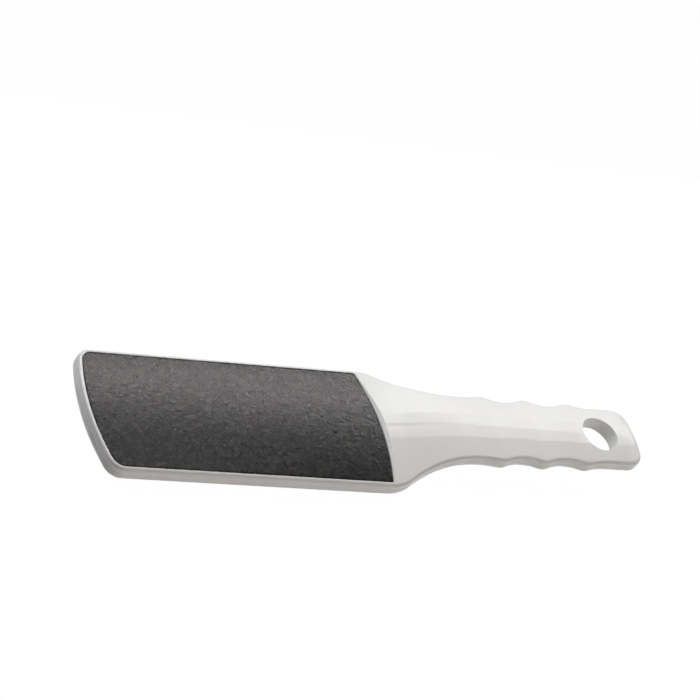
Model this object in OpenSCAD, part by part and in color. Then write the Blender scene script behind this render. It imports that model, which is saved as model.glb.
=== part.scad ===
// Foot file: a two-sided abrasive paddle on a cranked handle with finger grooves and a hanging hole.
// Millimetres. The tip points to -X, the hanging hole is at +X, and the coarse face is up.
// The origin is the centre of the footprint, on the surface that the file lies on.
// Two moulded half shells meet edge to edge at mid thickness, and each carries one glued-in pad.

/* [Paddle] */
// Length from the tip to the start of the shoulders
paddle_l = 119.9; // [100:0.1:160]
// Width across the paddle
paddle_w = 55; // [46:0.5:66]
// Thickness of the two shells together, from rim to rim
paddle_t = 5.7; // [5:0.1:8]
// Radius of the bowed tip
tip_arc_r = 97; // [60:1:160]
// Radius of the two corners at the tip
tip_corner_r = 6.5; // [4:0.5:12]
// Width of the rim left around a pad
rim_w = 2; // [1.5:0.1:4]
// Radius of the outer edges
edge_r = 0.9; // [0.6:0.1:1.4]
// Draft of the side walls, in degrees
draft_a = 1.5; // [0:0.5:4]
// Chamfer along the parting line of each shell
seam_c = 0.2; // [0.1:0.05:0.3]

/* [Abrasive pads] */
// How far a pad reaches past the start of the shoulders
pad_reach = 3.4; // [1:0.1:6]
// Radius of a pad's bowed end at the handle
pad_end_r = 102; // [70:1:160]
// Depth of the recess that a pad lies in
recess_d = 0.8; // [0.5:0.05:0.9]
// Gap all round between a pad and its recess
pad_gap = 0.25; // [0.1:0.05:0.5]
// Thickness of the mineral coat
grit_t = 0.45; // [0.3:0.05:0.8]
// Thickness of the backing cloth
backing_t = 0.35; // [0.25:0.05:0.6]
// Thickness of the double-sided adhesive film
adhesive_t = 0.2; // [0.1:0.05:0.3]
// How far the adhesive film stays back from the pad's edge
adhesive_inset = 0.8; // [0.4:0.1:2]

/* [Neck] */
// Length from the start of the shoulders to the waist
neck_l = 41.8; // [34:0.2:60]
// Radius of the rounded shoulders
shoulder_r = 17; // [8:1:26]
// Height by which the neck lifts the handle
crank_h = 4.5; // [1:0.1:8]
// Length over which the neck lifts
crank_l = 44; // [30:0.5:50]
// How far the lift starts before the shoulders
crank_lead = 4; // [1:0.1:6]
// Length over which the crown of the front face starts, under the pad's end
lip_l = 2.5; // [1.5:0.1:4]

/* [Handle] */
// Width at the waist
waist_w = 30; // [26:0.2:34]
// Width across the first pair of finger ridges
first_ridge_w = 31.8; // [28:0.2:38]
// Width across the last pair of finger ridges
last_ridge_w = 30.2; // [26:0.2:36]
// Number of finger ridges on each side
ridge_n = 3; // [2:1:4]
// Distance between neighbouring ridges
ridge_pitch = 19.9; // [18:0.1:26]
// Depth of the finger grooves
groove_d = 1.9; // [0.8:0.1:2.2]
// Radius of a ridge
ridge_r = 6; // [3:0.5:9]
// Length from the last ridge to the end of the handle
tail_l = 28.5; // [27:0.1:40]
// Width of the tail round the hanging hole
tail_w = 27.2; // [25:0.2:34]
// Radius of the two corners at the end
tail_corner_r = 7; // [4:0.5:9]
// Radius of the bowed end
tail_arc_r = 40; // [25:1:80]
// Thickness of the handle along its edges
handle_t = 5.3; // [4.2:0.1:7]
// Slope of the handle along its length, in degrees
handle_a = 0.5; // [0:0.1:3]
// Fall of the face from its central band to the edges, in degrees
crown_a = 4.4; // [1:0.1:5]
// Fall of the central band from its middle line, in degrees
band_a = 1.1; // [0.4:0.1:2]
// Width of the central band
band_w = 10.8; // [6:0.2:13]

/* [Hanging hole] */
// Diameter of the hanging hole
hole_d = 15.6; // [8:0.2:16]
// Distance from the middle of the hole to the end of the handle
hole_end = 17.9; // [15:0.1:20]

/* [Inside of the shells] */
// Thickness of the side walls of the handle
wall_t = 1.4; // [1:0.1:2]
// Thickness of the handle's face
face_t = 1.3; // [1:0.05:1.6]
// Thickness of the floor under a pad
floor_t = 1.1; // [0.9:0.05:1.3]
// Thickness of the ribs
rib_t = 1.2; // [0.8:0.1:2]
// Number of cross ribs in the paddle
paddle_rib_n = 5; // [3:1:7]
// Wall of the collar round the hanging hole
collar_t = 1.6; // [1.2:0.1:2.4]
// Diameter of the locating pins
pin_d = 2.5; // [2:0.1:3]
// Height of the locating pins above the parting line
pin_h = 0.9; // [0.6:0.05:1]
// Clearance of a pin in its socket, all round and at its end
pin_gap = 0.05; // [0.05:0.01:0.1]
// Diameter of the bosses that carry the pins and sockets
boss_d = 5.2; // [4.4:0.1:6]

/* [Hidden] */
shell_white = [0.93, 0.93, 0.92];
film_tan = [0.86, 0.80, 0.66];
cloth_brown = [0.48, 0.38, 0.30];
coarse_grey = [0.29, 0.29, 0.28];
fine_grey = [0.40, 0.40, 0.39];
overrun = 1;                       // how far a cutter stands past what it cuts
row_step = 2.4;                    // aim for the distance between sections on a long curve
corner_step = 1.4;                 // and round a corner
tip_flat = 1;                      // half width of the first and last section
edge_steps = 3;                    // flats that draw a rounded edge
band_share = 0.4;                  // most of the face's half width that the central band takes
cap_reach = 3;                     // points from the middle line out to where a cap's fan starts
round_fn = 96;

ridge_x1 = paddle_l + neck_l + ridge_pitch / 2;
ridge_xn = ridge_x1 + (ridge_n - 1) * ridge_pitch;
overall_l = ridge_xn + tail_l;
hole_x = overall_l - hole_end;
hole_r = hole_d / 2;
pad_t = grit_t + backing_t + adhesive_t;
proud = pad_t - recess_d;          // height of a pad's face above its rim
mid_z = proud + paddle_t / 2;      // parting plane of the paddle
crank_x = paddle_l - crank_lead;
face_inset = edge_r + tan(draft_a) * (paddle_t / 2 - edge_r);
pad_end_x = paddle_l + pad_reach;
cavity_x = pad_end_x + wall_t;
pocket_d = paddle_t / 2 - recess_d - floor_t;
pocket_end_x = crank_x - wall_t;
rib_pitch = pocket_end_x / (paddle_rib_n + 1);
boss_y = paddle_w / 4;
paddle_pins = [for (i = [1, paddle_rib_n], s = [-1, 1]) [i * rib_pitch, s * boss_y]];
handle_pins = [for (x = [ridge_x1, hole_x - hole_r - collar_t - boss_d / 2]) [x, 0]];
pins = concat(paddle_pins, handle_pins);

// Number of steps that draw an arc of radius r through angle a
function steps(r, a, step = row_step) = max(2, ceil(r * a * PI / 180 / step));

// Two tangent arcs, level at both ends, from p to q; r is the radius at p. Each point is [x, y, normal].
function bend_turn(p, q) = 2 * atan(abs(q.y - p.y) / (q.x - p.x));
function bend_rest(p, q, r) = (q.x - p.x) / sin(bend_turn(p, q)) - r;
function bend(p, q, r) =
    let (turn = bend_turn(p, q), rest = bend_rest(p, q, r), s = sign(q.y - p.y))
    let (n = steps(r, turn), m = steps(rest, turn))
    concat(
        [for (i = [1:n]) let (t = turn * i / n)
            [p.x + r * sin(t), p.y + s * r * (1 - cos(t)), 90 + s * t]],
        [for (i = [1:m]) let (t = turn * (1 - i / m))
            [q.x - rest * sin(t), q.y - s * rest * (1 - cos(t)), 90 + s * t]]);

// Height of such a bend at x, level before p and after q
function bend_at(x, p, q, r) =
    let (s = sign(q.y - p.y), turn = bend_turn(p, q), rest = bend_rest(p, q, r))
    x <= p.x ? p.y
    : x >= q.x ? q.y
    : x < p.x + r * sin(turn) ? p.y + s * (r - sqrt(r * r - (x - p.x) * (x - p.x)))
    : q.y - s * (rest - sqrt(rest * rest - (q.x - x) * (q.x - x)));

// Half of a bowed end with round corners, from near the middle line out to the side.
// The apex is at the origin and the curve opens to +X.
function bowed_end(half_w, arc_r, corner_r) =
    let (cy = half_w - corner_r, reach = sqrt(pow(arc_r - corner_r, 2) - cy * cy))
    let (corner_a = atan2(cy, reach), flat_a = asin(tip_flat / arc_r))
    let (n = steps(arc_r, corner_a - flat_a), m = steps(corner_r, 90 - corner_a, corner_step))
    concat(
        [for (i = [0:n]) let (a = 180 - flat_a - (corner_a - flat_a) * i / n)
            [arc_r + arc_r * cos(a), arc_r * sin(a), a]],
        [for (i = [1:m]) let (a = 180 - corner_a - (90 - corner_a) * i / m)
            [arc_r - reach + corner_r * cos(a), cy + corner_r * sin(a), a]]);

// The handle's end is the same curve turned round, from the side in to the middle line
function turned_end(end_x, points) =
    [for (i = [len(points) - 1:-1:0]) [end_x - points[i].x, points[i].y, 180 - points[i].z]];

// Half outline of the file from the tip to the end of the handle: x, half width and outward normal
waist = [paddle_l + neck_l, waist_w / 2];
function ridge(i) =
    let (w = first_ridge_w + (last_ridge_w - first_ridge_w) * i / (ridge_n - 1))
    [ridge_x1 + i * ridge_pitch, w / 2];
function groove(i) = [ridge(i).x + ridge_pitch / 2, (ridge(i).y + ridge(i + 1).y) / 2 - groove_d];
tail_start = [ridge_xn + ridge_pitch / 2, tail_w / 2];
outline = concat(
    bowed_end(paddle_w / 2, tip_arc_r, tip_corner_r),
    [[crank_x, paddle_w / 2, 90], [paddle_l - lip_l, paddle_w / 2, 90], [paddle_l, paddle_w / 2, 90]],
    bend([paddle_l, paddle_w / 2], waist, shoulder_r),
    bend(waist, ridge(0), bend_rest(waist, ridge(0), ridge_r)),
    [for (i = [0:ridge_n - 2]) each concat(
        bend(ridge(i), groove(i), ridge_r),
        bend(groove(i), ridge(i + 1), bend_rest(groove(i), ridge(i + 1), ridge_r)))],
    bend(ridge(ridge_n - 1), tail_start, ridge_r),
    turned_end(overall_l, bowed_end(tail_w / 2, tail_arc_r, tail_corner_r)));
function inset(p, d) = [p.x - d * cos(p.z), p.y - d * sin(p.z)];

// Heights: the parting line, the half thickness at the edges, and the crown of a face
crank_start = [crank_x, 0];
crank_end = [crank_x + crank_l, crank_h];
crank_r = bend_rest(crank_start, crank_end, 0) / 2;
function part_z(x) =
    let (past = min(crank_l, max(0, x - crank_x)))
    let (slope_rise = tan(handle_a) * (past * past / (2 * crank_l) + max(0, x - crank_end.x)))
    mid_z + bend_at(x, crank_start, crank_end, crank_r) + slope_rise;
function edge_h(x) =
    let (share = min(1, max(0, (x - paddle_l) / neck_l)))
    (paddle_t + (handle_t - paddle_t) * share) / 2;
function crown_share(x, side) =
    let (from = side > 0 ? paddle_l - lip_l : paddle_l, length = side > 0 ? lip_l : neck_l)
    min(1, max(0, (x - from) / length));
function band_y(half_w) = min(band_w / 2, band_share * half_w);
function crown(x, y, half_w, side) =
    let (band = band_y(half_w))
    crown_share(x, side) * (tan(crown_a) * (half_w - max(band, y)) + tan(band_a) * max(0, band - y));

// One closed section from half a section's [x, y, height] points, the last of them on the middle line
function section(half, side) =
    let (right = [for (p = half) [p.x, p.y, part_z(p.x) + side * p.z]])
    let (left = [for (i = [len(half) - 2:-1:0]) [right[i].x, -right[i].y, right[i].z]])
    let (round = concat(right, left))
    side > 0 ? round : [for (i = [len(round) - 1:-1:0]) round[i]];

// Outside of a shell at outline point p: seam chamfer, drafted wall, rounded edge, face
function shell_half(p, side) =
    let (h = edge_h(p.x), lean = tan(draft_a) * (h - edge_r), q = inset(p, lean + edge_r))
    concat(
        [[each inset(p, seam_c), 0], [each inset(p, 0), seam_c]],
        [for (k = [0:edge_steps]) let (a = 90 * k / edge_steps)
            [each inset(p, lean + edge_r * (1 - cos(a))), h - edge_r + edge_r * sin(a)]],
        [[q.x, band_y(q.y), h + crown(q.x, band_y(q.y), q.y, side)],
         [q.x, 0, h + crown(q.x, 0, q.y, side)]]);

// Hollow of a handle shell at outline point p, from below the parting line up to the face's wall
function hollow_half(p, side) =
    let (w = inset(p, wall_t), face_w = inset(p, face_inset).y, h = edge_h(p.x) - face_t)
    [[w.x, w.y, -overrun],
     [w.x, w.y, h + crown(w.x, w.y, face_w, side)],
     [w.x, band_y(w.y), h + crown(w.x, band_y(w.y), face_w, side)],
     [w.x, 0, h + crown(w.x, 0, face_w, side)]];

// Closed solid through a list of mirrored sections
module skin(rows) {
    n = len(rows);
    m = len(rows[0]);
    low = (m - 1) / 2 - cap_reach;
    walls = [for (i = [0:n - 2], j = [0:m - 1])
        let (a = i * m + j, b = i * m + (j + 1) % m)
        each [[b, a, b + m], [b + m, a, a + m]]];
    cap = [
        for (j = [0:1:low - 1]) [j, j + 1, m - 2 - j, m - 1 - j],
        for (j = [low + 1:m - 2 - low]) [low, j, j + 1]];
    last_cap = [for (f = cap) [for (i = [len(f) - 1:-1:0]) (n - 1) * m + f[i]]];
    polyhedron([for (r = rows) each r], concat(walls, cap, last_cap));
}

// Outline of a pad or its recess, drawn in by d from the pad's own edge
function pad_outline(d) =
    let (back = rim_w + d, half_w = paddle_w / 2 - back)
    let (tip = bowed_end(half_w, tip_arc_r - back, tip_corner_r - back))
    let (end_r = pad_end_r - d, end_a = asin(half_w / end_r), n = steps(end_r, 2 * end_a))
    concat(
        [for (p = tip) [p.x + back, p.y]],
        [for (i = [0:n]) let (a = end_a * (1 - 2 * i / n))
            [pad_end_x - pad_end_r + end_r * cos(a), end_r * sin(a)]],
        [for (i = [len(tip) - 1:-1:0]) [tip[i].x + back, -tip[i].y]]);

// A layer of a pad, from depth to depth + t below the pad's outer face; side is 1 in front and -1 behind
module pad_layer(depth, t, d, side) {
    outer_z = mid_z + side * (paddle_t / 2 + proud);
    translate([0, 0, side > 0 ? outer_z - depth - t : outer_z + depth])
        linear_extrude(t)
            polygon(pad_outline(d));
}

// Shallow pockets between the ribs on the inner side of the paddle
module paddle_pockets() {
    pocket_inset = rim_w + wall_t;
    half = [for (p = bowed_end(paddle_w / 2, tip_arc_r, tip_corner_r)) inset(p, pocket_inset)];
    translate([0, 0, mid_z - pocket_d])
        linear_extrude(2 * pocket_d)
            difference() {
                polygon(concat(
                    half,
                    [for (s = [1, -1]) [pocket_end_x, s * (paddle_w / 2 - pocket_inset)]],
                    [for (i = [len(half) - 1:-1:0]) [half[i].x, -half[i].y]]));
                for (i = [1:paddle_rib_n])
                    translate([i * rib_pitch - rib_t / 2, -paddle_w / 2])
                        square([rib_t, paddle_w]);
                translate([0, -rib_t / 2])
                    square([pocket_end_x + overrun, rib_t]);
                for (p = paddle_pins)
                    translate(p)
                        circle(d = boss_d, $fn = round_fn);
            }
}

// Hollow of the handle, less its ribs, its bosses and the collar round the hanging hole
module handle_hollow(side) {
    tall = 2 * paddle_w;               // more than the hollow's height, either way from the paddle
    bottom = mid_z - tall / 2;
    difference() {
        skin([for (p = outline) if (inset(p, wall_t).x > cavity_x) section(hollow_half(p, side), side)]);
        for (x = [ridge_x1 - ridge_pitch / 2:ridge_pitch / 2:hole_x - hole_r - collar_t])
            translate([x - rib_t / 2, -paddle_w / 2, bottom])
                cube([rib_t, paddle_w, tall]);
        translate([cavity_x - overrun, -rib_t / 2, bottom])
            cube([overall_l, rib_t, tall]);
        translate([hole_x, 0, bottom])
            cylinder(r = hole_r + collar_t, h = tall, $fn = round_fn);
        for (p = handle_pins)
            translate([p.x, p.y, bottom])
                cylinder(d = boss_d, h = tall, $fn = round_fn);
    }
}

// One half shell, side 1 in front and -1 behind, before its pins or sockets
module half_shell(side) {
    difference() {
        skin([for (p = outline) section(shell_half(p, side), side)]);
        pad_layer(-paddle_t, pad_t + paddle_t, -pad_gap, side);
        translate([hole_x, 0, part_z(hole_x) - handle_t])
            cylinder(r = hole_r, h = 2 * handle_t, $fn = round_fn);
        paddle_pockets();
        handle_hollow(side);
    }
}

module front_shell() {
    color(shell_white)
        difference() {
            half_shell(1);
            for (p = pins)
                translate([p.x, p.y, part_z(p.x) - overrun])
                    cylinder(d = pin_d + 2 * pin_gap, h = overrun + pin_h + pin_gap, $fn = round_fn);
        }
}

module back_shell() {
    color(shell_white)
        union() {
            half_shell(-1);
            for (p = pins)
                translate([p.x, p.y, part_z(p.x) - pin_h])
                    cylinder(d = pin_d, h = 2 * pin_h, $fn = round_fn);
        }
}

module front_adhesive_film() {
    color(film_tan)
        pad_layer(grit_t + backing_t, adhesive_t, adhesive_inset, 1);
}

module front_backing_cloth() {
    color(cloth_brown)
        pad_layer(grit_t, backing_t, 0, 1);
}

module front_grit_coat() {
    color(coarse_grey)
        pad_layer(0, grit_t, 0, 1);
}

module back_adhesive_film() {
    color(film_tan)
        pad_layer(grit_t + backing_t, adhesive_t, adhesive_inset, -1);
}

module back_backing_cloth() {
    color(cloth_brown)
        pad_layer(grit_t, backing_t, 0, -1);
}

module back_grit_coat() {
    color(fine_grey)
        pad_layer(0, grit_t, 0, -1);
}

translate([-overall_l / 2, 0, 0]) {
    front_shell();
    back_shell();
    front_adhesive_film();
    front_backing_cloth();
    front_grit_coat();
    back_adhesive_film();
    back_backing_cloth();
    back_grit_coat();
}
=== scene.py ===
import bisect
import math
import random

import bmesh
import bpy
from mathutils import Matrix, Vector, noise


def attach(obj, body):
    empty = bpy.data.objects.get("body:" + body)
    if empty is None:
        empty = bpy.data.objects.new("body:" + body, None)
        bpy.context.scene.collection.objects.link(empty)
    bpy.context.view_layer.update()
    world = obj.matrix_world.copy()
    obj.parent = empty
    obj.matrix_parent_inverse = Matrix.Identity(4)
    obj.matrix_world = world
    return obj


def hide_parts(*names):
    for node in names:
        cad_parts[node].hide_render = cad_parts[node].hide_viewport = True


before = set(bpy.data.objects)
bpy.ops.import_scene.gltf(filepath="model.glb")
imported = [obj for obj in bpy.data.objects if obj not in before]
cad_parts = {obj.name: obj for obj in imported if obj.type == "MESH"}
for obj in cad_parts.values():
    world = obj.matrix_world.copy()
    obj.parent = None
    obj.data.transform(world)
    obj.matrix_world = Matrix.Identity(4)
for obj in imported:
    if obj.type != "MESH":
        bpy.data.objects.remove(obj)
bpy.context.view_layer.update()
mm = 0.001

# The moulded body, in millimetres and degrees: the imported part's sizes, with rounder edges, a slightly
# wider middle band and the crease, which only the picture needs
fileBody = {
    # paddle
    "paddleLength": 119.9, "paddleWidth": 55.0, "paddleThick": 5.7, "tipRadius": 97.0, "tipCorner": 6.5,
    "rimWidth": 2.0, "tipFlat": 1.0,
    # edges
    "edgeRound": 1.4, "tipRound": 1.1, "draft": 1.5, "seamChamfer": 0.2, "sharpAngle": 32,
    # neck and crank
    "neckLength": 41.8, "shoulderRadius": 17.0, "waistWidth": 30.0, "lipLength": 2.5, "crankHeight": 4.5,
    "crankLength": 44.0, "crankLead": 4.0,
    # handle
    "firstRidgeWidth": 31.8, "lastRidgeWidth": 30.2, "ridgeCount": 3, "ridgePitch": 19.9, "grooveDepth": 1.9,
    "ridgeRadius": 6.0, "tailLength": 28.5, "tailWidth": 27.2, "tailCorner": 7.0, "tailRadius": 40.0,
    "handleThick": 5.3, "handleSlope": 0.5,
    # hanging hole
    "holeRadius": 7.8, "holeToEnd": 17.9, "holeRimRound": 0.15,
    # crowned face: its slope, and a flatter band along the middle
    "crownSlope": 4.4, "bandSlope": 1.1, "bandWidth": 11.6, "bandShare": 0.4, "bandSoft": 0.35,
    "bandSoftShare": 0.1,
    # crease along the neck
    "creaseDepth": 0.09, "creaseFar": 0.8, "creaseNear": 3.0, "creaseEnd": 168.0, "creaseShare": 0.2,
    # how finely the mesh is cut
    "rowStep": 0.9, "cornerStep": 0.5, "sideCuts": 60, "edgeCuts": 8, "outerCuts": 12, "innerCuts": 6,
    "creaseCuts": 4, "flareCuts": 4, "holeSides": 128,
}

# The two abrasive pads and the recess that holds each, in millimetres
abrasivePad = {
    "reach": 3.4, "endRadius": 102.0, "recessDepth": 0.8, "gap": 0.25, "lipRound": 0.15, "lipBevel": 0.62,
    "gritThick": 0.45, "clothThick": 0.35, "filmThick": 0.2,
    # grains: spacing and relief, how far they stray sideways, and how much the pad's edge is worn down
    "cell": 0.42, "coarseGrain": 0.05, "fineGrain": 0.025, "grainShare": 0.75, "lumpShare": 0.6,
    "lumpScale": 0.55, "stray": 0.16, "still": 0.02, "worn": 0.03, "wornWidth": 0.3, "sharpAngle": 50,
    "sideCuts": 50, "endCuts": 60, "cornerCuts": 14,
}

b = fileBody
ridgeOneX = b["paddleLength"] + b["neckLength"] + b["ridgePitch"] / 2
ridgeLastX = ridgeOneX + (b["ridgeCount"] - 1) * b["ridgePitch"]
overallLength = ridgeLastX + b["tailLength"]
holeX = overallLength - b["holeToEnd"]
padThick = abrasivePad["gritThick"] + abrasivePad["clothThick"] + abrasivePad["filmThick"]
proud = padThick - abrasivePad["recessDepth"]
midZ = proud + b["paddleThick"] / 2
crankX = b["paddleLength"] - b["crankLead"]
padEndX = b["paddleLength"] + abrasivePad["reach"]


def sinD(a): return math.sin(math.radians(a))
def cosD(a): return math.cos(math.radians(a))
def tanD(a): return math.tan(math.radians(a))


def share(value):
    return min(1, max(0, value))


def arcSteps(radius, angle, step):
    return max(2, math.ceil(radius * math.radians(angle) / step))


# A bend is two tangent arcs, level at both ends, from p to q, the first of the given radius
def bendTurn(p, q):
    return 2 * math.degrees(math.atan(abs(q[1] - p[1]) / (q[0] - p[0])))


# Radius of its second arc
def bendRest(p, q, radius):
    return (q[0] - p[0]) / sinD(bendTurn(p, q)) - radius


def bend(p, q, radius):
    turn, rest = bendTurn(p, q), bendRest(p, q, radius)
    s = 1 if q[1] > p[1] else -1
    n, m = arcSteps(radius, turn, b["rowStep"]), arcSteps(rest, turn, b["rowStep"])
    points = []
    for i in range(1, n + 1):
        t = turn * i / n
        points.append((p[0] + radius * sinD(t), p[1] + s * radius * (1 - cosD(t)), 90 + s * t))
    for i in range(1, m + 1):
        t = turn * (1 - i / m)
        points.append((q[0] - rest * sinD(t), q[1] - s * rest * (1 - cosD(t)), 90 + s * t))
    return points


def bendAt(x, p, q, radius):
    if x <= p[0]:
        return p[1]
    if x >= q[0]:
        return q[1]
    turn, rest = bendTurn(p, q), bendRest(p, q, radius)
    s = 1 if q[1] > p[1] else -1
    if x < p[0] + radius * sinD(turn):
        return p[1] + s * (radius - math.sqrt(radius ** 2 - (x - p[0]) ** 2))
    return q[1] - s * (rest - math.sqrt(rest ** 2 - (q[0] - x) ** 2))


# Half of a bowed end from the middle to its rounded corner. Near the middle it is left flat.
def bowedEnd(halfWidth, arcRadius, corner):
    cy = halfWidth - corner
    reach = math.sqrt((arcRadius - corner) ** 2 - cy ** 2)
    cornerAngle = math.degrees(math.atan2(cy, reach))
    flatAngle = math.degrees(math.asin(b["tipFlat"] / arcRadius))
    n = arcSteps(arcRadius, cornerAngle - flatAngle, b["rowStep"])
    m = arcSteps(corner, 90 - cornerAngle, b["cornerStep"])
    points = []
    for i in range(n + 1):
        a = 180 - flatAngle - (cornerAngle - flatAngle) * i / n
        points.append((arcRadius + arcRadius * cosD(a), arcRadius * sinD(a), a))
    for i in range(1, m + 1):
        a = 180 - cornerAngle - (90 - cornerAngle) * i / m
        points.append((arcRadius - reach + corner * cosD(a), cy + corner * sinD(a), a))
    return points


def ridge(i):
    w = b["firstRidgeWidth"] + (b["lastRidgeWidth"] - b["firstRidgeWidth"]) * i / (b["ridgeCount"] - 1)
    return (ridgeOneX + i * b["ridgePitch"], w / 2)


def groove(i):
    return (ridge(i)[0] + b["ridgePitch"] / 2, (ridge(i)[1] + ridge(i + 1)[1]) / 2 - b["grooveDepth"])


# Half outline from the tip to the end of the handle: x, half width and the angle of the outward normal
def halfOutline():
    waist = (b["paddleLength"] + b["neckLength"], b["waistWidth"] / 2)
    halfPaddle = b["paddleWidth"] / 2
    points = bowedEnd(halfPaddle, b["tipRadius"], b["tipCorner"])
    start, end, cuts = points[-1][0], b["paddleLength"], b["sideCuts"]
    points += [(start + (end - start) * i / cuts, halfPaddle, 90) for i in range(1, cuts + 1)]
    points += bend((end, halfPaddle), waist, b["shoulderRadius"])
    points += bend(waist, ridge(0), bendRest(waist, ridge(0), b["ridgeRadius"]))
    for i in range(b["ridgeCount"] - 1):
        points += bend(ridge(i), groove(i), b["ridgeRadius"])
        points += bend(groove(i), ridge(i + 1), bendRest(groove(i), ridge(i + 1), b["ridgeRadius"]))
    last = ridge(b["ridgeCount"] - 1)
    points += bend(last, (last[0] + b["ridgePitch"] / 2, b["tailWidth"] / 2), b["ridgeRadius"])
    tail = bowedEnd(b["tailWidth"] / 2, b["tailRadius"], b["tailCorner"])
    points += [(overallLength - x, y, 180 - a) for x, y, a in reversed(tail)]
    return points


def inset(p, d):
    return (p[0] - d * cosD(p[2]), p[1] - d * sinD(p[2]))


crankStart, crankEnd = (crankX, 0), (crankX + b["crankLength"], b["crankHeight"])
crankRadius = bendRest(crankStart, crankEnd, 0) / 2


# Height of the parting line between the shells
def partZ(x):
    past = min(b["crankLength"], max(0, x - crankX))
    slopeRise = tanD(b["handleSlope"]) * (past ** 2 / (2 * b["crankLength"]) + max(0, x - crankEnd[0]))
    return midZ + bendAt(x, crankStart, crankEnd, crankRadius) + slopeRise


# Height of the side wall above or below the parting line
def edgeHeight(x):
    alongNeck = share((x - b["paddleLength"]) / b["neckLength"])
    return (b["paddleThick"] + (b["handleThick"] - b["paddleThick"]) * alongNeck) / 2


# The crown starts within the lip in front and grows along the whole neck behind
def crownShare(x, side):
    start = b["paddleLength"] - b["lipLength"] if side > 0 else b["paddleLength"]
    length = b["lipLength"] if side > 0 else b["neckLength"]
    return share((x - start) / length)


def bandY(halfWidth):
    return min(b["bandWidth"] / 2, b["bandShare"] * halfWidth)


def crown(x, y, halfWidth, side):
    band = bandY(halfWidth)
    rise = tanD(b["crownSlope"]) * (halfWidth - max(band, y)) + tanD(b["bandSlope"]) * max(0, band - y)
    return crownShare(x, side) * max(0, rise)


# Radius of the rounded edge, a little tighter across the tip on the front
def edgeRadius(p, side):
    facing = max(0, -cosD(p[2])) if side > 0 and p[0] < b["paddleLength"] / 2 else 0
    return b["edgeRound"] + (b["tipRound"] - b["edgeRound"]) * facing ** 2


# Where the flat face starts inside the rounded edge
def faceStart(p, side):
    h, r = edgeHeight(p[0]), edgeRadius(p, side)
    return inset(p, tanD(b["draft"]) * (h - r) + r)


outline = halfOutline()
faceInset = [faceStart(p, 1) for p in outline]
faceX = [q[0] for q in faceInset]


def faceHalfWidth(x):
    i = min(max(bisect.bisect_left(faceX, x), 1), len(faceX) - 1)
    x0, x1 = faceX[i - 1], faceX[i]
    t = 0 if x1 == x0 else share((x - x0) / (x1 - x0))
    return faceInset[i - 1][1] + (faceInset[i][1] - faceInset[i - 1][1]) * t


def faceHeight(x, y, side):
    return edgeHeight(x) + crown(x, abs(y), faceHalfWidth(x), side)


# From millimetres along the file to metres in the shared frame
def spot(x, y, z):
    return Vector(((x - overallLength / 2) * mm, y * mm, z * mm))


def meshObject(name, points, faces):
    mesh = bpy.data.meshes.new(name)
    mesh.from_pydata(points, [], faces)
    mesh.validate()
    obj = bpy.data.objects.new(name, mesh)
    bpy.context.collection.objects.link(obj)
    return obj


def outwardNormals(obj):
    bm = bmesh.new()
    bm.from_mesh(obj.data)
    bmesh.ops.recalc_face_normals(bm, faces=bm.faces)
    bm.to_mesh(obj.data)
    bm.free()


def shadeSmooth(obj, sharpAngle):
    obj.data.polygons.foreach_set("use_smooth", [True] * len(obj.data.polygons))
    obj.data.set_sharp_from_angle(angle=math.radians(sharpAngle))


# Fine moulded line along the middle of the front face, steep on one side, that fades out in the handle
def creaseDrop(x, y, side):
    width = b["creaseFar"] if y > 0 else b["creaseNear"]
    if side < 0 or abs(y) >= width:
        return 0
    fade = share((b["creaseEnd"] - x) / (b["creaseEnd"] - b["paddleLength"]))
    start = share((x - b["paddleLength"] + b["lipLength"]) / b["lipLength"])
    return b["creaseDepth"] * fade * start * (0.5 + 0.5 * math.cos(math.pi * y / width))


# One cross-section of a shell from the seam over the face to the far seam
def shellSection(i, side):
    p, q = outline[i], faceStart(outline[i], side)
    h, r = edgeHeight(p[0]), edgeRadius(p, side)
    lean = tanD(b["draft"]) * (h - r)
    half = [(*inset(p, b["seamChamfer"]), 0), (*inset(p, 0), b["seamChamfer"])]
    for k in range(b["edgeCuts"] + 1):
        a = 90 * k / b["edgeCuts"]
        half.append((*inset(p, lean + r * (1 - cosD(a))), h - r + r * sinD(a)))
    band, soft = bandY(q[1]), min(b["bandSoft"], b["bandSoftShare"] * q[1])
    crease = min(b["creaseFar"], b["creaseShare"] * q[1])
    outer, inner = b["outerCuts"], b["innerCuts"]
    ys = [q[1] + (band + soft - q[1]) * k / outer for k in range(1, outer + 1)]
    ys += [band]
    ys += [band - soft + (crease - band + soft) * k / inner for k in range(inner + 1)]
    ys += [crease * k / b["creaseCuts"] for k in reversed(range(b["creaseCuts"]))]
    half += [(q[0], y, h + crown(q[0], y, q[1], side)) for y in ys]
    both = half + [(x, -y, z) for x, y, z in reversed(half[:-1])]
    return [(x, y, partZ(x) + side * (z - creaseDrop(x, y, side))) for x, y, z in both]


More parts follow.
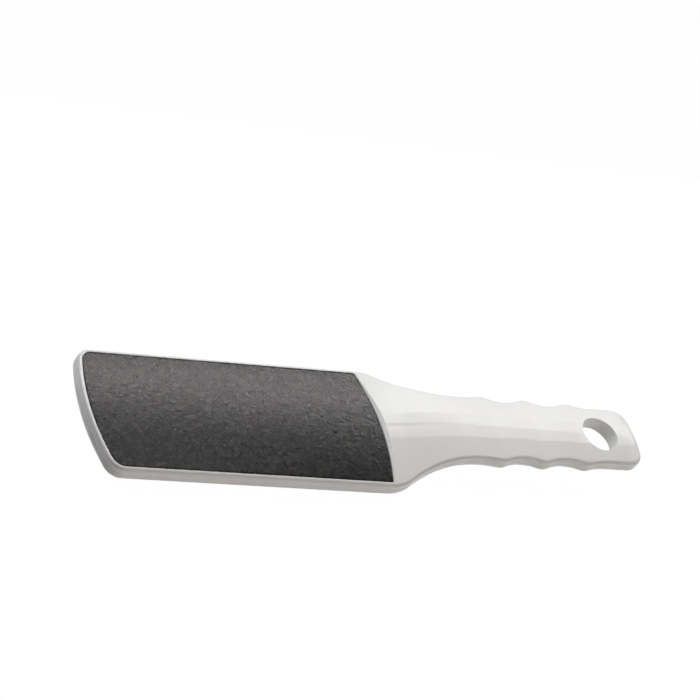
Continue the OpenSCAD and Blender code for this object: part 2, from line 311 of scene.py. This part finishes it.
# A closed prism whose upper edge flares outwards by a small round where it leaves the face. With a bevel,
# the edge leans back instead, by that share of the height that the wall stands above the pad.
def flaredCutter(name, loop, side, bottomZ, flare, bevel=0):
    n, cuts = len(loop), b["flareCuts"]
    radii = []
    for x, y, nx, ny in loop:
        overPad = side * (partZ(x) - bottomZ) + faceHeight(x, y, side) - padThick
        radii.append(flare + bevel * max(0, overPad))
    rings = [[spot(x, y, bottomZ) for x, y, nx, ny in loop]]
    for k in range(cuts + 1):
        a = 90 * k / cuts
        ring = []
        for (x, y, nx, ny), radius in zip(loop, radii):
            lean = min(1, (radius - flare) / flare)       # 0 for a round edge, 1 for a straight bevel
            d = radius * (lean * k / cuts + (1 - lean) * (1 - cosD(a)))
            up = radius * (lean * k / cuts + (1 - lean) * sinD(a))
            z = partZ(x) + side * (faceHeight(x, y, side) - radius + up)
            ring.append(spot(x + nx * d, y + ny * d, z))
        rings.append(ring)
    clearOfFace = 12
    rings.append([spot(x + nx * radius, y + ny * radius, partZ(x) + side * clearOfFace)
                  for (x, y, nx, ny), radius in zip(loop, radii)])
    points = [p for ring in rings for p in ring]
    faces = []
    for k in range(len(rings) - 1):
        for j in range(n):
            a, c = k * n + j, k * n + (j + 1) % n
            faces.append((a, c, c + n, a + n))
    faces.append(tuple(reversed(range(n))))
    faces.append(tuple(range((len(rings) - 1) * n, len(rings) * n)))
    obj = meshObject(name, points, faces)
    outwardNormals(obj)
    return obj


# Outline of a pad, drawn out by d, with outward normals, all the way round
def padLoop(d):
    halfWidth = b["paddleWidth"] / 2 - b["rimWidth"] + d
    back = b["rimWidth"] - d
    tip = bowedEnd(halfWidth, b["tipRadius"] - back, b["tipCorner"] - back)
    endRadius = abrasivePad["endRadius"] + d
    endCentre = padEndX - abrasivePad["endRadius"]
    endAngle = math.degrees(math.asin(halfWidth / endRadius))
    sideEnd = endCentre + endRadius * cosD(endAngle)
    sideCuts, endCuts = abrasivePad["sideCuts"], abrasivePad["endCuts"]
    loop = [(x + back, y, cosD(a), sinD(a)) for x, y, a in tip]
    start = loop[-1][0]
    for i in range(1, sideCuts):
        loop.append((start + (sideEnd - start) * i / sideCuts, halfWidth, 0, 1))
    for i in range(endCuts + 1):
        a = endAngle * (1 - 2 * i / endCuts)
        loop.append((endCentre + endRadius * cosD(a), endRadius * sinD(a), cosD(a), sinD(a)))
    for i in range(1, sideCuts):
        loop.append((sideEnd + (start - sideEnd) * i / sideCuts, -halfWidth, 0, -1))
    loop += [(x + back, -y, cosD(a), -sinD(a)) for x, y, a in reversed(tip)]
    return loop


def holeLoop():
    loop = []
    for i in range(b["holeSides"]):
        a = 360 * i / b["holeSides"]
        loop.append((holeX + b["holeRadius"] * cosD(a), b["holeRadius"] * sinD(a), cosD(a), sinD(a)))
    return loop


def cutAway(obj, cutters):
    for cutter in cutters:
        mod = obj.modifiers.new("cut", "BOOLEAN")
        mod.operation, mod.solver, mod.object = "DIFFERENCE", "EXACT", cutter
    deps = bpy.context.evaluated_depsgraph_get()
    cut = bpy.data.meshes.new_from_object(obj.evaluated_get(deps))
    obj.modifiers.clear()
    obj.data = cut
    for cutter in cutters:
        bpy.data.objects.remove(cutter)


def makeShell(name, side):
    rows = [shellSection(i, side) for i in range(len(outline))]
    m, wall = len(rows[0]), b["edgeCuts"] + 1
    points = [spot(*p) for row in rows for p in row]
    faces = []
    for i in range(len(rows) - 1):
        for j in range(m):
            a, c = i * m + j, i * m + (j + 1) % m
            faces.append((a, c, c + m, a + m))
    for start in (0, (len(rows) - 1) * m):               # the two ends: strips up the wall and over the edge
        for j in range(wall):
            faces.append((start + j, start + j + 1, start + m - 2 - j, start + m - 1 - j))
        faces.append(tuple(start + j for j in range(wall, m - wall)))
    shell = meshObject(name, points, faces)
    outwardNormals(shell)
    recessZ = midZ + side * (b["paddleThick"] / 2 - abrasivePad["recessDepth"])
    recess = flaredCutter("recessCut", padLoop(abrasivePad["gap"]), side, recessZ, abrasivePad["lipRound"],
                          abrasivePad["lipBevel"] if side > 0 else 0)
    pastSeam = 2
    hole = flaredCutter("holeCut", holeLoop(), side, partZ(holeX) - side * pastSeam, b["holeRimRound"])
    cutAway(shell, [recess, hole])
    shadeSmooth(shell, b["sharpAngle"])
    mod = shell.modifiers.new("even shading", "WEIGHTED_NORMAL")
    mod.keep_sharp = True
    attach(shell, "root")
    return shell


# x where a pad's outline starts and ends at a given y
def padStartX(y):
    back = b["rimWidth"]
    arc, corner = b["tipRadius"] - back, b["tipCorner"] - back
    cy = b["paddleWidth"] / 2 - back - corner
    reach = math.sqrt((arc - corner) ** 2 - cy ** 2)
    tangentY = cy * arc / (arc - corner)
    if abs(y) < tangentY:
        return back + arc - math.sqrt(arc ** 2 - y ** 2)
    return back + arc - reach - math.sqrt(max(0, corner ** 2 - (abs(y) - cy) ** 2))


def padFinishX(y):
    r = abrasivePad["endRadius"]
    return padEndX - r + math.sqrt(r ** 2 - y ** 2)


# The mineral coat: one sheet of grains, closed below, cut to the pad's outline
def makeGrit(name, side, grain, seed):
    v = abrasivePad
    halfWidth = b["paddleWidth"] / 2 - b["rimWidth"]
    corner = b["tipCorner"] - b["rimWidth"]
    plain = halfWidth - corner
    n, cornerCuts = round(2 * plain / v["cell"]), v["cornerCuts"]
    ys = [-plain + 2 * plain * i / n for i in range(n + 1)]
    out = [plain + corner * sinD(90 * k / cornerCuts) for k in range(1, cornerCuts + 1)]
    ys = [-y for y in reversed(out)] + ys + out
    columns = round((padEndX - b["rimWidth"]) / v["cell"])
    outerZ = midZ + side * (b["paddleThick"] / 2 + proud)
    dice = random.Random(seed)
    points = []
    for i in range(columns + 1):
        for y in ys:
            x0, x1 = padStartX(y), padFinishX(y)
            x = x0 + (x1 - x0) * i / columns
            toEdge = min(x - x0, x1 - x, halfWidth - abs(y))
            worn = v["worn"] * max(0, 1 - toEdge / v["wornWidth"])
            lump = 0.5 + 0.5 * noise.noise(Vector((x * v["lumpScale"], y * v["lumpScale"], seed)))
            depth = grain * (v["grainShare"] * dice.random() + v["lumpShare"] * lump) + worn
            strayX, strayY = (dice.random() - 0.5) * v["stray"], (dice.random() - 0.5) * v["stray"]
            if toEdge <= v["still"]:
                strayX = strayY = 0
            points.append(spot(x + strayX, y + strayY, outerZ - side * depth))
    m = len(ys)
    faces = []
    for i in range(columns):
        for j in range(m - 1):
            a = i * m + j
            faces.append((a, a + 1, a + m + 1, a + m))
    rim = list(range(m)) + [i * m + m - 1 for i in range(1, columns + 1)]
    rim += [columns * m + j for j in range(m - 2, -1, -1)] + [i * m for i in range(columns - 1, 0, -1)]
    base, count = len(points), len(rim)
    bottomZ = (outerZ - side * v["gritThick"]) * mm
    points += [Vector((points[k].x, points[k].y, bottomZ)) for k in rim]
    for a in range(count):
        c = (a + 1) % count
        faces.append((rim[a], rim[c], base + c, base + a))
    faces.append(tuple(base + k for k in range(count)))
    coat = meshObject(name, points, faces)
    outwardNormals(coat)
    shadeSmooth(coat, v["sharpAngle"])
    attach(coat, "root")
    return coat


# Small helpers for the materials. Every texture follows the object.
def newMaterial(name):
    mat = bpy.data.materials.new(name)
    mat.use_nodes = True
    nodes, links = mat.node_tree.nodes, mat.node_tree.links
    return mat, nodes, links, nodes["Principled BSDF"]


def addTexture(mat, kind, scale, detail=None):
    nodes, links = mat.node_tree.nodes, mat.node_tree.links
    coords, texture = nodes.new("ShaderNodeTexCoord"), nodes.new(kind)
    texture.inputs["Scale"].default_value = scale
    if detail is not None:
        texture.inputs["Detail"].default_value = detail
    links.new(coords.outputs["Object"], texture.inputs["Vector"])
    return texture


def addRange(mat, value, fromMin, fromMax, toMin=0, toMax=1):
    spread = mat.node_tree.nodes.new("ShaderNodeMapRange")
    spread.inputs["From Min"].default_value, spread.inputs["From Max"].default_value = fromMin, fromMax
    spread.inputs["To Min"].default_value, spread.inputs["To Max"].default_value = toMin, toMax
    mat.node_tree.links.new(value, spread.inputs["Value"])
    return spread


def addRamp(mat, value, stops, smooth=False):
    ramp = mat.node_tree.nodes.new("ShaderNodeValToRGB")
    ramp.color_ramp.interpolation = "EASE" if smooth else "LINEAR"
    elements = ramp.color_ramp.elements
    while len(elements) > 1:
        elements.remove(elements[-1])
    elements[0].position, elements[0].color = stops[0][0], (*stops[0][1], 1)
    for position, colour in stops[1:]:
        elements.new(position).color = (*colour, 1)
    mat.node_tree.links.new(value, ramp.inputs["Fac"])
    return ramp


def addBump(mat, height, strength, depth):
    nodes, links = mat.node_tree.nodes, mat.node_tree.links
    bump = nodes.new("ShaderNodeBump")
    bump.inputs["Strength"].default_value = strength
    bump.inputs["Distance"].default_value = depth
    links.new(height, bump.inputs["Height"])
    links.new(bump.outputs["Normal"], nodes["Principled BSDF"].inputs["Normal"])
    return bump


shellPlastic = {
    "colour": (0.80, 0.796, 0.787), "shade": (0.775, 0.771, 0.762), "cloudScale": 45, "cloudDetail": 3,
    "shadeTo": 0.35, "colourFrom": 0.65, "roughLow": 0.28, "roughHigh": 0.32, "ior": 1.5,
    "rippleScale": 900, "rippleDetail": 2, "ripple": 0.02, "rippleDepth": 0.0002,
}


def makeShellPlastic():
    v = shellPlastic
    mat, nodes, links, shader = newMaterial("shellPlastic")
    cloud = addTexture(mat, "ShaderNodeTexNoise", v["cloudScale"], v["cloudDetail"])
    ripple = addTexture(mat, "ShaderNodeTexNoise", v["rippleScale"], v["rippleDetail"])
    stops = [(v["shadeTo"], v["shade"]), (v["colourFrom"], v["colour"])]
    tint = addRamp(mat, cloud.outputs["Fac"], stops, smooth=True)
    rough = addRange(mat, cloud.outputs["Fac"], 0, 1, v["roughLow"], v["roughHigh"])
    addBump(mat, ripple.outputs["Fac"], v["ripple"], v["rippleDepth"])
    links.new(tint.outputs["Color"], shader.inputs["Base Color"])
    links.new(rough.outputs["Result"], shader.inputs["Roughness"])
    shader.inputs["IOR"].default_value = v["ior"]
    return mat


coarseGrit = {
    "dark": (0.002, 0.002, 0.0019), "mid": (0.0085, 0.0083, 0.0078), "light": (0.054, 0.052, 0.0475),
    "grainScale": 2100, "grainShare": 0.5, "roughLow": 0.11, "roughHigh": 0.26, "bump": 0.085,
    "grazingFrom": 0.42, "grazingFull": 0.70, "grazingRough": 0.65,
    "shine": 0.115, "shineTint": (1.0, 0.945, 0.915),
}
fineGrit = {
    "dark": (0.028, 0.0275, 0.027), "mid": (0.052, 0.051, 0.049), "light": (0.105, 0.102, 0.098),
    "grainScale": 4200, "grainShare": 0.6, "roughLow": 0.30, "roughHigh": 0.5, "bump": 0.2,
    "grazingFrom": 0.42, "grazingFull": 0.70, "grazingRough": 0.7,
    "shine": 0.3, "shineTint": (1.0, 0.98, 0.96),
}
gritMottle = {"scale": 480, "detail": 2, "from": 0.32, "to": 0.68, "bumpDepth": 0.0001}


def makeGritFinish(name, v):
    mat, nodes, links, shader = newMaterial(name)
    grains = addTexture(mat, "ShaderNodeTexVoronoi", v["grainScale"])
    mottle = addTexture(mat, "ShaderNodeTexNoise", gritMottle["scale"], gritMottle["detail"])
    spread = addRange(mat, mottle.outputs["Fac"], gritMottle["from"], gritMottle["to"])
    split = nodes.new("ShaderNodeSeparateColor")     # each grain has a random colour: red tints, green dulls
    links.new(grains.outputs["Color"], split.inputs["Color"])
    mixed = nodes.new("ShaderNodeMix")
    mixed.inputs["Factor"].default_value = v["grainShare"]
    links.new(spread.outputs["Result"], mixed.inputs["A"])
    links.new(split.outputs["Red"], mixed.inputs["B"])
    tint = addRamp(mat, mixed.outputs["Result"], [(0.0, v["dark"]), (0.5, v["mid"]), (1.0, v["light"])])
    rough = addRange(mat, split.outputs["Green"], 0, 1, v["roughLow"], v["roughHigh"])
    facing = nodes.new("ShaderNodeLayerWeight")      # seen flat along, the grains hide the gloss
    grazing = addRange(mat, facing.outputs["Facing"], v["grazingFrom"], v["grazingFull"])
    grazing.interpolation_type = "SMOOTHSTEP"
    dull = nodes.new("ShaderNodeMix")
    dull.inputs["B"].default_value = v["grazingRough"]
    links.new(grazing.outputs["Result"], dull.inputs["Factor"])
    links.new(rough.outputs["Result"], dull.inputs["A"])
    bump = addBump(mat, grains.outputs["Distance"], v["bump"], gritMottle["bumpDepth"])
    bump.invert = True
    links.new(tint.outputs["Color"], shader.inputs["Base Color"])
    links.new(dull.outputs["Result"], shader.inputs["Roughness"])
    shader.inputs["Specular IOR Level"].default_value = v["shine"]
    shader.inputs["Specular Tint"].default_value = (*v["shineTint"], 1)
    return mat


backingCloth = {
    "thread": (0.20, 0.125, 0.075), "gapColour": (0.09, 0.055, 0.035), "threadFrom": 0.6, "gapTo": 0.1,
    "threadScale": 1500, "waver": 0.6, "bump": 0.3, "bumpDepth": 0.0001, "rough": 0.85,
}


def makeBackingCloth():
    v = backingCloth
    mat, nodes, links, shader = newMaterial("backingCloth")
    weave = nodes.new("ShaderNodeMath")
    weave.operation = "MULTIPLY"
    for i, direction in enumerate("XY"):             # warp and weft
        wave = addTexture(mat, "ShaderNodeTexWave", v["threadScale"])
        wave.bands_direction = direction
        wave.inputs["Distortion"].default_value = v["waver"]
        links.new(wave.outputs["Fac"], weave.inputs[i])
    stops = [(v["gapTo"], v["gapColour"]), (v["threadFrom"], v["thread"])]
    tint = addRamp(mat, weave.outputs["Value"], stops)
    addBump(mat, weave.outputs["Value"], v["bump"], v["bumpDepth"])
    links.new(tint.outputs["Color"], shader.inputs["Base Color"])
    shader.inputs["Roughness"].default_value = v["rough"]
    return mat


adhesiveFilm = {
    "clear": (0.66, 0.58, 0.40), "cloudy": (0.58, 0.50, 0.33), "clearFrom": 0.62, "cloudyTo": 0.4,
    "cloudScale": 220, "cloudDetail": 5, "bump": 0.12, "bumpDepth": 0.0001, "rough": 0.4,
}


def makeAdhesiveFilm():
    v = adhesiveFilm
    mat, nodes, links, shader = newMaterial("adhesiveFilm")
    cloud = addTexture(mat, "ShaderNodeTexNoise", v["cloudScale"], v["cloudDetail"])
    tint = addRamp(mat, cloud.outputs["Fac"], [(v["cloudyTo"], v["cloudy"]), (v["clearFrom"], v["clear"])])
    addBump(mat, cloud.outputs["Fac"], v["bump"], v["bumpDepth"])
    links.new(tint.outputs["Color"], shader.inputs["Base Color"])
    shader.inputs["Roughness"].default_value = v["rough"]
    return mat


def dress(obj, mat):
    obj.data.materials.clear()
    obj.data.materials.append(mat)


plastic = makeShellPlastic()
coarse = makeGritFinish("coarseGrit", coarseGrit)
fine = makeGritFinish("fineGrit", fineGrit)
cloth = makeBackingCloth()
film = makeAdhesiveFilm()

frontShell = makeShell("frontShell", 1)
backShell = makeShell("backShell", -1)
for shell, node in ((frontShell, "front_shell"), (backShell, "back_shell")):
    dress(shell, plastic)
    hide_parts(node)
print("shells made:", len(frontShell.data.polygons), "and", len(backShell.data.polygons), "faces")

frontGrit = makeGrit("frontGrit", 1, abrasivePad["coarseGrain"], 11)
backGrit = makeGrit("backGrit", -1, abrasivePad["fineGrain"], 23)
dress(frontGrit, coarse)
dress(backGrit, fine)
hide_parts("front_grit_coat")
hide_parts("back_grit_coat")
print("grit coats made:", len(frontGrit.data.polygons), "faces each")

for node, mat in (("front_backing_cloth", cloth), ("back_backing_cloth", cloth),
                  ("front_adhesive_film", film), ("back_adhesive_film", film)):
    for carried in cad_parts[node].material_slots:
        carried.material = mat
print("backing cloths and films finished")

# Floor: pale, nearly white to the camera, still darkened a little by the object's shadow
floorLook = {
    "size": 8.0, "below": 0.00002, "colour": (0.80, 0.80, 0.80),
    "seenColour": (0.08, 0.08, 0.08), "glow": 0.98,
}


def makeFloor():
    v = floorLook
    s = v["size"] / 2
    floor = meshObject("floor", [(-s, -s, 0), (s, -s, 0), (s, s, 0), (-s, s, 0)], [(0, 1, 2, 3)])
    floor.location.z = -v["below"]
    mat = bpy.data.materials.new("paleFloor")
    mat.use_nodes = True
    nodes, links = mat.node_tree.nodes, mat.node_tree.links
    nodes.clear()
    out = nodes.new("ShaderNodeOutputMaterial")
    matt = nodes.new("ShaderNodeBsdfDiffuse")
    matt.inputs["Color"].default_value = (*v["colour"], 1)
    seen = nodes.new("ShaderNodeBsdfDiffuse")
    seen.inputs["Color"].default_value = (*v["seenColour"], 1)
    glow = nodes.new("ShaderNodeEmission")
    glow.inputs["Strength"].default_value = v["glow"]
    bright = nodes.new("ShaderNodeAddShader")
    links.new(seen.outputs["BSDF"], bright.inputs[0])
    links.new(glow.outputs["Emission"], bright.inputs[1])
    path = nodes.new("ShaderNodeLightPath")
    shiny, clear = nodes.new("ShaderNodeMath"), nodes.new("ShaderNodeMath")
    shiny.operation = clear.operation = "MAXIMUM"
    links.new(path.outputs["Is Camera Ray"], shiny.inputs[0])
    links.new(path.outputs["Is Glossy Ray"], shiny.inputs[1])
    links.new(shiny.outputs["Value"], clear.inputs[0])
    links.new(path.outputs["Is Transmission Ray"], clear.inputs[1])
    pick = nodes.new("ShaderNodeMixShader")
    links.new(clear.outputs["Value"], pick.inputs["Fac"])
    links.new(matt.outputs["BSDF"], pick.inputs[1])
    links.new(bright.outputs["Shader"], pick.inputs[2])
    links.new(pick.outputs["Shader"], out.inputs["Surface"])
    floor.data.materials.append(mat)


makeFloor()

# Light: two strip lights upright behind the file with a dimmer panel under them, a box further back that the
# bent neck mirrors, two warm fills in front and an even dim room. Glow is what a mirror would show of each.
panels = {
    "stripLight": {"x": (-0.25, 0.42), "y": 0.16, "z": (0.168, 0.180), "glow": 34.0},
    "secondStrip": {"x": (-0.25, 0.42), "y": 0.16, "z": (0.150, 0.159), "glow": 14.5},
    "lowPanel": {"x": (-0.25, 0.42), "y": 0.16, "z": (0.002, 0.055), "glow": 1.8},
    "neckBox": {"x": (0.14, 0.45), "y": 0.50, "z": (0.700, 0.800), "glow": 9.8},
}
warm = (1.0, 0.93, 0.885)
fills = {
    "lowFill": {"from": (0.40, -0.80, 0.12), "aim": (0.10, 0.0, 0.02), "size": (0.9, 0.2), "glow": 1.5},
    "highFill": {"from": (0.30, -0.90, 0.50), "aim": (0.0, 0.0, 0.0), "size": (1.0, 0.4), "glow": 2.3},
}
room = {"colour": (1, 1, 1), "strength": 0.03}


def makeSoftbox(name, centre, aim, width, height, glow, colour=(1, 1, 1)):
    light = bpy.data.lights.new(name, "AREA")
    light.shape = "RECTANGLE"
    light.size, light.size_y = width, height
    light.energy = glow * math.pi * width * height
    light.color = colour
    obj = bpy.data.objects.new(name, light)
    bpy.context.collection.objects.link(obj)
    obj.location = centre
    obj.rotation_euler = (Vector(aim) - Vector(centre)).to_track_quat("-Z", "Y").to_euler()
    obj.visible_camera = False


for name, v in panels.items():
    (x0, x1), (z0, z1) = v["x"], v["z"]
    centre = Vector(((x0 + x1) / 2, v["y"], (z0 + z1) / 2))
    makeSoftbox(name, centre, centre + Vector((0, -1, 0)), x1 - x0, z1 - z0, v["glow"])
for name, v in fills.items():
    makeSoftbox(name, v["from"], v["aim"], *v["size"], v["glow"], warm)
world = bpy.data.worlds.new("room")
bpy.context.scene.world = world
world.use_nodes = True
background = world.node_tree.nodes["Background"]
background.inputs["Color"].default_value = (*room["colour"], 1)
background.inputs["Strength"].default_value = room["strength"]
print("floor and lights set")

# Camera: placed from the photograph's own perspective
photoCamera = {
    "from": (-0.623099, -0.626060, 0.752939), "turn": (44.70876, -26.90531, -18.76041), "lens": 159.742,
    "sensor": 36, "near": 0.01, "far": 50,
}
lensData = bpy.data.cameras.new("photoCamera")
lensData.lens, lensData.sensor_width = photoCamera["lens"], photoCamera["sensor"]
lensData.clip_start, lensData.clip_end = photoCamera["near"], photoCamera["far"]
camera = bpy.data.objects.new("photoCamera", lensData)
camera.location = photoCamera["from"]
camera.rotation_euler = [math.radians(a) for a in photoCamera["turn"]]
bpy.context.collection.objects.link(camera)
bpy.context.scene.camera = camera
bpy.context.scene.view_settings.view_transform = "Standard"
